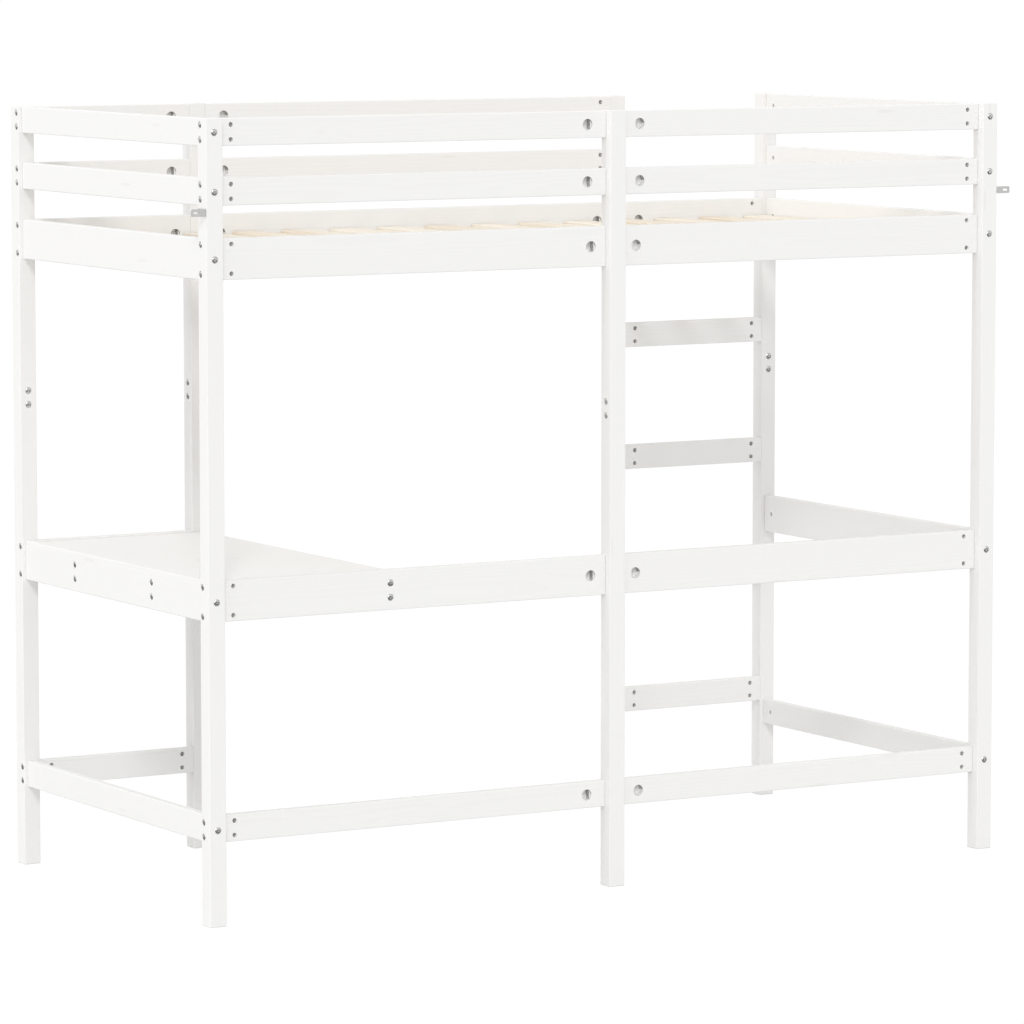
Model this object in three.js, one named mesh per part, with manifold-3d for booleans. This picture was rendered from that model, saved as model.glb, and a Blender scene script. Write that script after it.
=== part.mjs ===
// High bed with a built-in ladder and a small desk: pine posts and boards that bolt together flat-packed.
// Millimetres, +Z up, origin on the floor under the middle of the bed. The length runs along X and the
// width along Y. The closed long side, which stands against a wall, is the front, at -Y, and the ladder
// is at the right-hand end of the back, at +Y.
import * as THREE from 'three';
import { mergeVertices } from 'three/addons/utils/BufferGeometryUtils.js';
import Module from 'manifold-3d';

const wasm = await Module();
wasm.setup();

// ---- driving dimensions ----
const BED_LENGTH = 2068;
const BED_WIDTH = 980;
const BED_HEIGHT = 1755;
const POST = 40;
const POST_RADIUS = 3; // rounding of the long edges
const BOARD = 20;
const BOARD_RADIUS = 2;
const BAY = 440; // centre to centre of the two back posts that stand beside the corner posts
const FIT_GAP = 0.3; // clearance left where two pieces meet

// Boards are named by level: the height of the centre line, and how deep the board is.
const LEVELS = {
  guard_top: { z: 1724, height: 60 },
  guard_second: { z: 1596, height: 60 },
  side: { z: 1451, height: 90 },
  middle: { z: 710, height: 90 },
  bottom: { z: 212, height: 60 },
};
const RUNG_HEIGHT = 60;
const RUNG_FIRST = 270;
const RUNG_PITCH = 300;
const RUNG_COUNT = 4;

// Joints. A board end that has a post to itself takes two bolts into two barrel nuts. Where two boards
// meet on both sides of a post, one threaded rod runs through the post into a round pocket in each board.
const BOLT_DIAMETER = 7;
const BARREL_DIAMETER = 10;
const BARREL_FROM_END = 30;
const DRILL_DEPTH = 15;
const POCKET_DIAMETER = 25;
const POCKET_FROM_END = { 60: 48, 90: 39 }; // by board height
const BOLT_SPACING = { 60: 32, 90: 64 }; // by board height
const BOLT_SIDES = 6;
const BARREL_SIDES = 8;
const POCKET_SIDES = 12;

// Each post is two lengths joined by a half lap with two bolts.
const LAP_CENTRE = 1086;
const LAP_LENGTH = 96;
const LAP_BOLT_SPACING = 32;
const LAP_BOLT_DEPTH = 30;

// Desk between the left end and the desk post, carried by two battens and a cross rail.
const DESK_CARRIER = { z: 709, height: 60 };
const DESK_THICKNESS = 12;
const DESK_BATTEN_Y = 193.5;

// Slats on cleats inside the side boards, held at an even pitch by two webbing straps.
const SLAT_COUNT = 16;
const SLAT_WIDTH = 66;
const SLAT_THICKNESS = 16;
const SLAT_TOP = 1454;
const SLAT_END_PLAY = 2;
const CLEAT = 20;
const STRAP_WIDTH = 20;
const STRAP_THICKNESS = 1.5;
const STRAP_SINK = 0.5; // how far a strap presses into the slats it is stapled to
const STRAP_Y = 419; // just inside the cleats

// Steel angle at each end of the front, which ties the bed to the wall.
const ANGLE = { z: 1553, height: 16, onPost: 38, out: 37, steel: 2, hole: 5, slot: 14, slotFromTip: 6 };

const WHITE = { color: '#f4f3f1', roughness: 0.42, metalness: 0 };
const PINE = { color: '#e3c69a', roughness: 0.6, metalness: 0 };
const STEEL = { color: '#b9bab9', roughness: 0.35, metalness: 1 };

// ---- places worked out from the dimensions ----
const halfLength = BED_LENGTH / 2;
const halfWidth = BED_WIDTH / 2;
const postX = {
  left: -halfLength + POST / 2,
  desk: -halfLength + POST / 2 + BAY,
  middle: 0,
  ladder: halfLength - POST / 2 - BAY,
  right: halfLength - POST / 2,
};
const postY = { front: -halfWidth + POST / 2, back: halfWidth - POST / 2 };
// Long boards lie in the inner half of the posts, and end boards in the middle of them.
const railY = { front: -halfWidth + POST - BOARD / 2, back: halfWidth - POST + BOARD / 2 };
const innerY = halfWidth - POST;

// ---- solids ----
function solid(geometry) {
  const bare = geometry.clone();
  bare.deleteAttribute('normal');
  bare.deleteAttribute('uv');
  const merged = mergeVertices(bare.index ? bare.toNonIndexed() : bare, 1e-4);
  return new wasm.Manifold(new wasm.Mesh({
    numProp: 3,
    vertProperties: new Float32Array(merged.attributes.position.array),
    triVerts: new Uint32Array(merged.index.array),
  }));
}

function block([x0, x1], [y0, y1], [z0, z1]) {
  const box = new THREE.BoxGeometry(x1 - x0, y1 - y0, z1 - z0);
  return solid(box.translate((x0 + x1) / 2, (y0 + y1) / 2, (z0 + z1) / 2));
}

// A straight bar with rounded long edges. Its section is drawn in the two axes that follow the bar's own.
const SECTION_AXES = { x: ['y', 'z'], y: ['z', 'x'], z: ['x', 'y'] };
const UNIT = { x: new THREE.Vector3(1, 0, 0), y: new THREE.Vector3(0, 1, 0), z: new THREE.Vector3(0, 0, 1) };

function bar(axis, x, y, z, r) {
  const ranges = { x, y, z };
  const [u, v] = SECTION_AXES[axis];
  const size = (name) => ranges[name][1] - ranges[name][0];
  const middle = (name) => (ranges[name][0] + ranges[name][1]) / 2;
  const hu = size(u) / 2;
  const hv = size(v) / 2;
  const outline = new THREE.Shape();
  outline.moveTo(-hu + r, -hv);
  outline.lineTo(hu - r, -hv).absarc(hu - r, -hv + r, r, -Math.PI / 2, 0);
  outline.lineTo(hu, hv - r).absarc(hu - r, hv - r, r, 0, Math.PI / 2);
  outline.lineTo(-hu + r, hv).absarc(-hu + r, hv - r, r, Math.PI / 2, Math.PI);
  outline.lineTo(-hu, -hv + r).absarc(-hu + r, -hv + r, r, Math.PI, 1.5 * Math.PI);
  const options = { depth: size(axis), bevelEnabled: false, curveSegments: 2 };
  const raw = new THREE.ExtrudeGeometry(outline, options);
  raw.translate(0, 0, -size(axis) / 2);
  raw.applyMatrix4(new THREE.Matrix4().makeBasis(UNIT[u], UNIT[v], UNIT[axis]));
  return solid(raw.translate(middle('x'), middle('y'), middle('z')));
}

// A round drilling that starts at `start` and runs `length` along an axis, with the sign of `length`.
function drilling(axis, diameter, start, length, sides) {
  const round = new THREE.CylinderGeometry(diameter / 2, diameter / 2, Math.abs(length), sides);
  const turns = { x: () => round.rotateZ(Math.PI / 2), y: () => round, z: () => round.rotateX(Math.PI / 2) };
  turns[axis]();
  const centre = { ...start };
  centre[axis] += length / 2;
  return solid(round.translate(centre.x, centre.y, centre.z));
}

function cut(body, tools) {
  return tools.reduce((left, tool) => left.subtract(tool), body);
}

const bed = new THREE.Group();

function add(name, body, finish) {
  const mesh = body.getMesh();
  const geometry = new THREE.BufferGeometry();
  geometry.setAttribute('position', new THREE.BufferAttribute(new Float32Array(mesh.vertProperties), 3));
  geometry.setIndex(new THREE.BufferAttribute(new Uint32Array(mesh.triVerts), 1));
  geometry.computeVertexNormals();
  const piece = new THREE.Mesh(geometry, new THREE.MeshStandardMaterial(finish));
  piece.name = name;
  bed.add(piece);
}

// ---- joints, as drillings in a board end or in a post ----
function boltHeights({ z, height }) {
  const half = BOLT_SPACING[height] / 2;
  return [z - half, z + half];
}

// In a board that runs along X. `end` is its end face, and `inward` points from there into the board.
function boardEndDrillings(level, y, end, inward, kind) {
  const face = y - BOARD / 2;
  const rod = kind === 'rod';
  const fromEnd = rod ? POCKET_FROM_END[level.height] : BARREL_FROM_END;
  const diameter = rod ? POCKET_DIAMETER : BARREL_DIAMETER;
  const sides = rod ? POCKET_SIDES : BARREL_SIDES;
  const tools = [];
  for (const z of rod ? [level.z] : boltHeights(level)) {
    const middle = end + inward * fromEnd;
    tools.push(drilling('y', diameter, { x: middle, y: face - 1, z }, DRILL_DEPTH + 1, sides));
    tools.push(drilling('x', BOLT_DIAMETER, { x: end - inward, y, z }, inward * (fromEnd + 1), BOLT_SIDES));
  }
  return tools;
}

function boltThroughX(x, y, z) {
  return drilling('x', BOLT_DIAMETER, { x: x - POST, y, z }, 2 * POST, BOLT_SIDES);
}

function boltThroughY(x, y, z) {
  return drilling('y', BOLT_DIAMETER, { x, y: y - POST, z }, 2 * POST, BOLT_SIDES);
}

// ---- boards ----
// Which joint each board end makes: `bolts` at a post of its own, `rod` where another board faces it.
const LONG_BOARDS = [
  ['guard_top', 'front', 'left', 'middle', 'bolts', 'rod', 'left'],
  ['guard_top', 'front', 'middle', 'right', 'rod', 'bolts', 'right'],
  ['guard_second', 'front', 'left', 'middle', 'bolts', 'rod', 'left'],
  ['guard_second', 'front', 'middle', 'right', 'rod', 'bolts', 'right'],
  ['side', 'front', 'left', 'middle', 'bolts', 'rod', 'left'],
  ['side', 'front', 'middle', 'right', 'rod', 'bolts', 'right'],
  ['middle', 'front', 'left', 'middle', 'bolts', 'rod', 'left'],
  ['middle', 'front', 'middle', 'right', 'rod', 'bolts', 'right'],
  ['bottom', 'front', 'left', 'middle', 'bolts', 'rod', 'left'],
  ['bottom', 'front', 'middle', 'right', 'rod', 'bolts', 'right'],
  ['guard_top', 'back', 'left', 'desk', 'bolts', 'rod', 'left'],
  ['guard_top', 'back', 'desk', 'ladder', 'rod', 'bolts', 'centre'],
  ['guard_second', 'back', 'left', 'desk', 'bolts', 'rod', 'left'],
  ['guard_second', 'back', 'desk', 'ladder', 'rod', 'bolts', 'centre'],
  ['side', 'back', 'left', 'desk', 'bolts', 'rod', 'left'],
  ['side', 'back', 'desk', 'ladder', 'rod', 'rod', 'centre'],
  ['side', 'back', 'ladder', 'right', 'rod', 'bolts', 'right'],
  ['middle', 'back', 'left', 'desk', 'bolts', 'bolts', 'left'],
  ['bottom', 'back', 'left', 'desk', 'bolts', 'bolts', 'left'],
];
const RUNGS = Array.from({ length: RUNG_COUNT }, (_, step) => ({
  z: RUNG_FIRST + step * RUNG_PITCH,
  height: RUNG_HEIGHT,
}));

const postHoles = {}; // drillings collected for each post, by its name

// The cross rail under the desk is bolted through the front middle board.
const extraHoles = {
  middle_front_left: boltHeights(DESK_CARRIER).map((z) => boltThroughY(postX.desk, railY.front, z)),
};

function drillPost(row, column, tool) {
  const name = `${row}_${column}`;
  postHoles[name] = [...(postHoles[name] ?? []), tool];
}

function longBoard(name, level, row, fromPost, toPost, startJoint, endJoint) {
  const start = postX[fromPost] + POST / 2 + FIT_GAP;
  const end = postX[toPost] - POST / 2 - FIT_GAP;
  const y = railY[row];
  const heights = [level.z - level.height / 2, level.z + level.height / 2];
  const body = bar('x', [start, end], [y - BOARD / 2, y + BOARD / 2], heights, BOARD_RADIUS);
  add(name, cut(body, [
    ...boardEndDrillings(level, y, start, 1, startJoint),
    ...boardEndDrillings(level, y, end, -1, endJoint),
    ...(extraHoles[name] ?? []),
  ]), WHITE);
  for (const [post, joint] of [[fromPost, startJoint], [toPost, endJoint]]) {
    if (joint === 'bolts') {
      boltHeights(level).forEach((z) => drillPost(row, post, boltThroughX(postX[post], y, z)));
    }
    // The board that starts at the post drills its rod hole, so a shared hole is made once.
    if (joint === 'rod' && post === fromPost) {
      drillPost(row, post, boltThroughX(postX[post], y, level.z));
    }
  }
}

for (const [level, row, fromPost, toPost, startJoint, endJoint, place] of LONG_BOARDS) {
  longBoard(`${level}_${row}_${place}`, LEVELS[level], row, fromPost, toPost, startJoint, endJoint);
}
RUNGS.forEach((rung, step) => {
  longBoard(`ladder_rung_${step + 1}`, rung, 'back', 'ladder', 'right', 'bolts', 'bolts');
});

// End boards fill the space between the corner posts. One bolt at each end runs in from outside into a
// barrel nut, which is dropped in from the board's inner face. `inside` points to the middle of the bed.
function endBoard(name, level, column, inside, moreHoles) {
  const x = postX[column];
  const half = innerY - FIT_GAP;
  const heights = [level.z - level.height / 2, level.z + level.height / 2];
  const body = bar('y', [x - BOARD / 2, x + BOARD / 2], [-half, half], heights, BOARD_RADIUS);
  const face = x + inside * BOARD / 2;
  const tools = [];
  for (const [row, out] of [['front', -1], ['back', 1]]) {
    const barrel = out * (half - BARREL_FROM_END);
    tools.push(drilling('x', BARREL_DIAMETER, { x: face + inside, y: barrel, z: level.z },
      -inside * (DRILL_DEPTH + 1), BARREL_SIDES));
    tools.push(drilling('y', BOLT_DIAMETER, { x, y: barrel, z: level.z },
      out * (BARREL_FROM_END + 1), BOLT_SIDES));
    drillPost(row, column, boltThroughY(x, postY[row], level.z));
  }
  add(name, cut(body, [...tools, ...moreHoles]), WHITE);
}

// Bolt holes for the desk battens, in the left end board and in the cross rail: two for each batten.
function battenHoles(x) {
  return [-DESK_BATTEN_Y, DESK_BATTEN_Y].flatMap((y) => boltHeights(DESK_CARRIER)
    .map((z) => boltThroughX(x, y, z)));
}

for (const [column, inside] of [['left', 1], ['right', -1]]) {
  for (const [level, size] of Object.entries(LEVELS)) {
    const holdsDesk = level === 'middle' && column === 'left';
    endBoard(`${level}_end_${column}`, size, column, inside, holdsDesk ? battenHoles(postX.left) : []);
  }
}

// ---- desk ----
const deskLeft = postX.left + BOARD / 2 + FIT_GAP;
const deskRight = postX.desk + BOARD / 2;
const crossRailX = [postX.desk - BOARD / 2, postX.desk + BOARD / 2];
const carrierZ = [DESK_CARRIER.z - DESK_CARRIER.height / 2, DESK_CARRIER.z + DESK_CARRIER.height / 2];
const deskHalfDepth = innerY - FIT_GAP;

const crossRailTools = [];
for (const [row, out] of [['front', -1], ['back', 1]]) {
  for (const z of boltHeights(DESK_CARRIER)) {
    const barrel = out * (deskHalfDepth - BARREL_FROM_END);
    crossRailTools.push(drilling('x', BARREL_DIAMETER, { x: crossRailX[1] + 1, y: barrel, z },
      -(DRILL_DEPTH + 1), BARREL_SIDES));
    crossRailTools.push(drilling('y', BOLT_DIAMETER, { x: postX.desk, y: barrel, z },
      out * (BARREL_FROM_END + 1), BOLT_SIDES));
    if (row === 'back') drillPost(row, 'desk', boltThroughY(postX.desk, postY.back, z));
  }
}
const crossRail = bar('y', crossRailX, [-deskHalfDepth, deskHalfDepth], carrierZ, BOARD_RADIUS);
add('desk_cross_rail', cut(crossRail, [...crossRailTools, ...battenHoles(postX.desk)]), WHITE);

for (const [place, y] of [['front', -DESK_BATTEN_Y], ['back', DESK_BATTEN_Y]]) {
  const ends = [deskLeft, crossRailX[0] - FIT_GAP];
  const batten = bar('x', ends, [y - BOARD / 2, y + BOARD / 2], carrierZ, BOARD_RADIUS);
  add(`desk_batten_${place}`, cut(batten, [
    ...boardEndDrillings(DESK_CARRIER, y, ends[0], 1, 'bolts'),
    ...boardEndDrillings(DESK_CARRIER, y, ends[1], -1, 'bolts'),
  ]), WHITE);
}
const deskZ = [carrierZ[1] + FIT_GAP, carrierZ[1] + FIT_GAP + DESK_THICKNESS];
add('desk_top', bar('y', [deskLeft, deskRight], [-deskHalfDepth, deskHalfDepth], deskZ, BOARD_RADIUS), WHITE);

// ---- posts ----
function postBar(x, y, z0, z1) {
  return bar('z', [x - POST / 2, x + POST / 2], [y - POST / 2, y + POST / 2], [z0, z1], POST_RADIUS);
}

// The lap of a corner post splits it front to back, and that of a post in a row of boards side to side.
function post(row, column) {
  const x = postX[column];
  const y = postY[row];
  const corner = column === 'left' || column === 'right';
  const lapStart = LAP_CENTRE - LAP_LENGTH / 2;
  const lapEnd = LAP_CENTRE + LAP_LENGTH / 2;
  const wide = [-POST, POST];
  const inner = row === 'front' ? 1 : -1;
  // A lap bolt enters from the face that is seen least, and ends inside the wood.
  const reach = LAP_BOLT_DEPTH + 1;
  const lapBolts = [-1, 1].map((side) => {
    const z = LAP_CENTRE + side * LAP_BOLT_SPACING / 2;
    return corner
      ? drilling('y', BOLT_DIAMETER, { x, y: y + inner * (POST / 2 + 1), z }, -inner * reach, BOLT_SIDES)
      : drilling('x', BOLT_DIAMETER, { x: x - POST / 2 - 1, y, z }, reach, BOLT_SIDES);
  });
  const drillings = [...(postHoles[`${row}_${column}`] ?? []), ...lapBolts];
  // Half of the section, as ranges about the post's own axis: the lower length keeps its outer half.
  const halfSection = (kept) => (corner
    ? [wide, kept > 0 ? [0, POST] : [-POST, 0]]
    : [kept > 0 ? [0, POST] : [-POST, 0], wide]);
  const removed = (kept, z0, z1) => {
    const [dx, dy] = halfSection(-kept);
    const gap = FIT_GAP / 2 * kept;
    const shift = (range, along) => range.map((v) => v + along);
    return block(
      shift(shift(dx, x), corner ? 0 : gap),
      shift(shift(dy, y), corner ? gap : 0),
      [z0, z1],
    );
  };
  const lower = postBar(x, y, 0, lapEnd).subtract(removed(-inner, lapStart, lapEnd + 1));
  const upper = postBar(x, y, lapStart + FIT_GAP, BED_HEIGHT)
    .subtract(removed(inner, lapStart - 1, lapEnd + FIT_GAP));
  add(`post_${row}_${column}_lower`, cut(lower, drillings), WHITE);
  add(`post_${row}_${column}_upper`, cut(upper, drillings), WHITE);
}

for (const column of ['left', 'middle', 'right']) post('front', column);
for (const column of ['left', 'desk', 'ladder', 'right']) post('back', column);

// ---- cleats and slats ----
const slatBottom = SLAT_TOP - SLAT_THICKNESS;
for (const [level, row, fromPost, toPost, , , place] of LONG_BOARDS) {
  if (level !== 'side') continue;
  const inside = row === 'front' ? 1 : -1;
  const wall = inside * -innerY + inside * FIT_GAP;
  add(`slat_cleat_${row}_${place}`, block(
    [postX[fromPost] + POST / 2 + FIT_GAP, postX[toPost] - POST / 2 - FIT_GAP],
    [Math.min(wall, wall + inside * CLEAT), Math.max(wall, wall + inside * CLEAT)],
    [slatBottom - FIT_GAP - CLEAT, slatBottom - FIT_GAP],
  ), PINE);
}

const slatSpan = 2 * (postX.right - BOARD / 2) - 2 * SLAT_END_PLAY - SLAT_WIDTH;
const slatPitch = slatSpan / (SLAT_COUNT - 1);
let slats;
for (let i = 0; i < SLAT_COUNT; i += 1) {
  const x = -slatSpan / 2 + i * slatPitch;
  const slat = block(
    [x - SLAT_WIDTH / 2, x + SLAT_WIDTH / 2],
    [-innerY + SLAT_END_PLAY, innerY - SLAT_END_PLAY],
    [slatBottom, SLAT_TOP],
  );
  slats = slats ? slats.add(slat) : slat;
}
for (const y of [-STRAP_Y, STRAP_Y]) {
  slats = slats.add(block(
    [-slatSpan / 2, slatSpan / 2],
    [y - STRAP_WIDTH / 2, y + STRAP_WIDTH / 2],
    [slatBottom - STRAP_THICKNESS + STRAP_SINK, slatBottom + STRAP_SINK],
  ));
}
add('slat_roll', slats, PINE);

// ---- wall angles ----
// One leg is screwed to the post's end face, and the other lies in the plane of the wall with a slot.
for (const [column, out] of [['left', -1], ['right', 1]]) {
  const face = out * (halfLength + FIT_GAP);
  const span = (a, b) => [Math.min(a, b), Math.max(a, b)];
  const z = [ANGLE.z - ANGLE.height / 2, ANGLE.z + ANGLE.height / 2];
  const onPost = block(span(face, face + out * ANGLE.steel), [-halfWidth, -halfWidth + ANGLE.onPost], z);
  const wallLeg = block(span(face, face + out * ANGLE.out), [-halfWidth, -halfWidth + ANGLE.steel], z);
  const slotMiddle = face + out * (ANGLE.out - ANGLE.slotFromTip - ANGLE.slot / 2);
  const slot = block([slotMiddle - ANGLE.slot / 2, slotMiddle + ANGLE.slot / 2],
    [-halfWidth - 1, -halfWidth + ANGLE.steel + 1], [ANGLE.z - ANGLE.hole / 2, ANGLE.z + ANGLE.hole / 2]);
  const screw = drilling('x', ANGLE.hole, { x: face - out, y: railY.front, z: ANGLE.z },
    out * (ANGLE.steel + 2), BARREL_SIDES);
  add(`wall_angle_${column}`, cut(onPost.add(wallLeg), [slot, screw]), STEEL);
}

export default bed;
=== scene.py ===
# %% [markdown]
# # A high bed with a ladder and a desk
#
# The real bed comes flat-packed: square pine posts, rounded boards, a bag of bolts and a roll of slats.
# Its measured frame is loaded first. It says where every piece is, so nothing has to be fitted by eye.
# Each plain piece of that frame is then replaced by a finished one, with eased edges, drilled joints,
# real fasteners and a wood finish.

# %% Load the measured frame
import math
import random

import bmesh
import bpy
from mathutils import Matrix, Vector


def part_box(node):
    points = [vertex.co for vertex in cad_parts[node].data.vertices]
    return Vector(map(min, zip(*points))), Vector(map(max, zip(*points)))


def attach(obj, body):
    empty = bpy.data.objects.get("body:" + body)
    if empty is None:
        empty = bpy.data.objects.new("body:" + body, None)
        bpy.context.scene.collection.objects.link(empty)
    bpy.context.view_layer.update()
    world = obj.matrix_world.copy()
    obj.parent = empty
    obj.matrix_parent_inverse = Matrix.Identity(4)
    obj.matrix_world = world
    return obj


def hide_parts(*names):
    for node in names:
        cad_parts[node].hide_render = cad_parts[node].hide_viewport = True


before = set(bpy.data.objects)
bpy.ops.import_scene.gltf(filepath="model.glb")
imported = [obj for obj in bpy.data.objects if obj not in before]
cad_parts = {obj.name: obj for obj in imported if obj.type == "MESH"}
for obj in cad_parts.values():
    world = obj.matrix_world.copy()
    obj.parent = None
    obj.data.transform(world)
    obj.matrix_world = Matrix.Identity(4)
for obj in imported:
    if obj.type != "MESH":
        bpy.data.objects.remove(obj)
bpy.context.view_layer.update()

# %% [markdown]
# ## Camera
#
# A camera comes early, because every later choice is judged through it. A long lens from far away keeps
# the posts nearly parallel, as in a furniture catalogue. It looks slightly down on the desk end.

# %% Camera
scene = bpy.context.scene
camera_data = bpy.data.cameras.new("camera")
camera_data.lens = 191.49
camera_data.sensor_width = 36
camera_data.clip_end = 200
camera = bpy.data.objects.new("camera", camera_data)
camera.location = (-6.3627, -10.8864, 2.1507)
camera.rotation_euler = (math.radians(90 - 6.077), 0, -math.radians(30.348))
scene.collection.objects.link(camera)
scene.camera = camera
print("camera at", tuple(round(v, 2) for v in camera.location), "lens", camera_data.lens)

# %% [markdown]
# ## Shader sums as Python
#
# A wood finish needs a lot of arithmetic between nodes. Adding Math nodes by hand hides the idea, so one
# small class wraps a socket and overloads the operators. `1 - rings * 0.3` then adds its own Math nodes.
# Colours never go through Math nodes, which would turn them grey: they go through Mix.


# %% Sockets that can be added and multiplied
class Wire:
    """An output socket that Python operators work on."""

    def __init__(self, finish, socket):
        self.finish = finish
        self.socket = socket

    def __add__(self, other):
        return self.finish.maths("ADD", self, other)

    def __sub__(self, other):
        return self.finish.maths("SUBTRACT", self, other)

    def __rsub__(self, other):
        return self.finish.maths("SUBTRACT", other, self)

    def __mul__(self, other):
        return self.finish.maths("MULTIPLY", self, other)

    def __truediv__(self, other):
        return self.finish.maths("DIVIDE", self, other)

    def __rtruediv__(self, other):
        return self.finish.maths("DIVIDE", other, self)

    __radd__ = __add__
    __rmul__ = __mul__


class Nodes:
    """The nodes of a material or a world."""

    def __init__(self, tree):
        self.tree = tree

    def node(self, kind, settings, sockets=None, out=0):
        """Adds a node: first its settings, then the values or wires of its sockets."""
        made = self.tree.nodes.new("ShaderNode" + kind)
        for setting, value in settings.items():
            setattr(made, setting, value)
        for socket, value in (sockets or {}).items():
            if isinstance(value, Wire):
                self.tree.links.new(value.socket, made.inputs[socket])
            else:
                made.inputs[socket].default_value = value
        return Wire(self, made.outputs[out])

    def maths(self, operation, *values):
        return self.node("Math", {"operation": operation}, dict(enumerate(values)))

    def step(self, value, low, high):
        """0 below low, 1 above high, and smooth between them."""
        return self.node("MapRange", {"interpolation_type": "SMOOTHSTEP"}, {0: value, 1: low, 2: high})

    def noise(self, vector, scale, detail, roughness=0.5):
        return self.node("TexNoise", {}, {
            "Vector": vector, "Scale": scale, "Detail": detail, "Roughness": roughness})

    def split(self, vector, *axes):
        """The numbers of a vector along the named axes."""
        return [self.node("SeparateXYZ", {}, {0: vector}, axis) for axis in axes]

    def stretch(self, vector, factors):
        return self.node("VectorMath", {"operation": "MULTIPLY"}, {0: vector, 1: factors})

    def blend(self, factor, first, second):
        """A colour between two colours."""
        return self.node("Mix", {"data_type": "RGBA"}, {0: factor, 6: first, 7: second}, out=2)


class Finish(Nodes):
    """A material with a Principled shader, and the nodes that feed it."""

    def __init__(self, name, **constants):
        self.material = bpy.data.materials.new(name)
        self.material.use_nodes = True
        super().__init__(self.material.node_tree)
        self.shader = self.tree.nodes["Principled BSDF"]
        for socket, value in constants.items():
            self.shader.inputs[socket.replace("_", " ")].default_value = value

    def feed(self, socket, wire):
        self.tree.links.new(wire.socket, self.shader.inputs[socket])

    def relief(self, height, distance, strength):
        """Feeds a height into the surface through a Bump node."""
        bump = {"Strength": strength, "Distance": distance, "Height": height}
        self.feed("Normal", self.node("Bump", {}, bump))


print("sockets can be summed now")

# %% [markdown]
# ## How pine is drawn
#
# A board is sawn out of a trunk, so its figure is a slice through a solid: growth rings round a pith that
# lies a little outside the board, bent by slow wobbles along the trunk. Painting rings on each face by hand
# would never meet at the edges. Instead each piece carries an attribute named `grain`: how far a point lies
# along, across and through its trunk. One pattern in those three numbers then fits posts, boards and slats
# alike, and shows ring ends on sawn faces without extra work.


# %% Growth rings and knots
RING_WIDTH = 0.0042
RING_WOBBLE = 0.022
KNOT_PULL = 0.009
KNOT_SPACING = (0.34, 0.055, 0.055)


def pine_figure(finish):
    """Returns rings, knots and fine fibres, each from 0 to 1."""
    grain = finish.node("Attribute", {"attribute_name": "grain"}, out="Vector")
    wobble = finish.noise(finish.stretch(grain, (1.3, 7, 7)), 1, 2)
    cells = finish.stretch(grain, [1 / spacing for spacing in KNOT_SPACING])
    near_knot = finish.node("TexVoronoi", {"feature": "F1", "distance": "EUCLIDEAN"}, {
        "Vector": cells, "Scale": 1, "Randomness": 0.9}, "Distance")
    pull = 1 - finish.step(near_knot, 0.02, 0.34)
    across, through = finish.split(grain, "Y", "Z")
    radius = finish.maths("SQRT", across * across + through * through)
    turns = (radius + wobble * RING_WOBBLE + pull * KNOT_PULL) / RING_WIDTH
    saw = finish.maths("FRACT", turns)
    rings = finish.step(saw, 0.25, 0.85) * (1 - finish.step(saw, 0.9, 1.0))
    knots = 1 - finish.step(near_knot, 0.055, 0.1)
    fibres = finish.noise(finish.stretch(grain, (14, 1300, 1300)), 1, 3, 0.6)
    return rings, knots, fibres


print("rings are", RING_WIDTH * 1000, "mm apart, knots about", KNOT_SPACING[0], "m")

# %% [markdown]
# ## White lacquer over pine
#
# The bed's white is a satin lacquer, thin enough for the figure to show through as a slight change of tone,
# a little warmer at the knots. The late wood is harder and stands proud by a hair, which only the gloss
# shows. So the figure feeds the colour weakly, and the relief and the roughness more strongly.
#
# In the drilled pockets the lacquer is painted a purer white: painted light that offsets the shade in them.
# The upper half of the round wall is painted dark grey instead: painted shade, where the rim shades it.


# %% White lacquered pine
def white_lacquered_pine(name, white, ring_white):
    finish = Finish(name, Specular_IOR_Level=0.3)
    rings, knots, fibres = pine_figure(finish)
    knot_white = (0.76, 0.73, 0.67, 1)
    tone = finish.blend(rings * 0.3 + fibres * 0.3, white, ring_white)
    finish.feed("Base Color", finish.blend(knots * 0.35, tone, knot_white))
    finish.feed("Roughness", 0.45 + fibres * 0.1 - rings * 0.05)
    grain = finish.node("Attribute", {"attribute_name": "grain"}, out="Vector")
    lacquer = finish.noise(grain, 420, 1)
    finish.relief(rings * 0.35 + fibres * 0.5 + lacquer * 0.25 + knots * 0.4, 0.00012, 0.7)
    return finish.material


LACQUERED = white_lacquered_pine("white lacquered pine", (0.865, 0.862, 0.855, 1), (0.832, 0.824, 0.808, 1))
# A brighter copy of the lacquer for the pockets: painted light that offsets their shade.
POCKET_PAINTED_LIGHT = white_lacquered_pine(
    "white lacquer with painted light in drillings", (0.94, 0.937, 0.93, 1), (0.92, 0.915, 0.905, 1))
# A dark grey copy for the upper pocket walls: painted shade under the rim.
POCKET_PAINTED_SHADE = white_lacquered_pine("lacquer with painted shade in drillings", (0.42, 0.41, 0.39, 1), (0.38, 0.36, 0.33, 1))
print(LACQUERED.name, "has", len(LACQUERED.node_tree.nodes), "nodes")

# %% [markdown]
# ## Bare pine
#
# The slats and their cleats are never seen with a mattress on, so they are left bare: pale yellow early wood,
# tan late wood, brown knots, and a dry surface.


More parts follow.
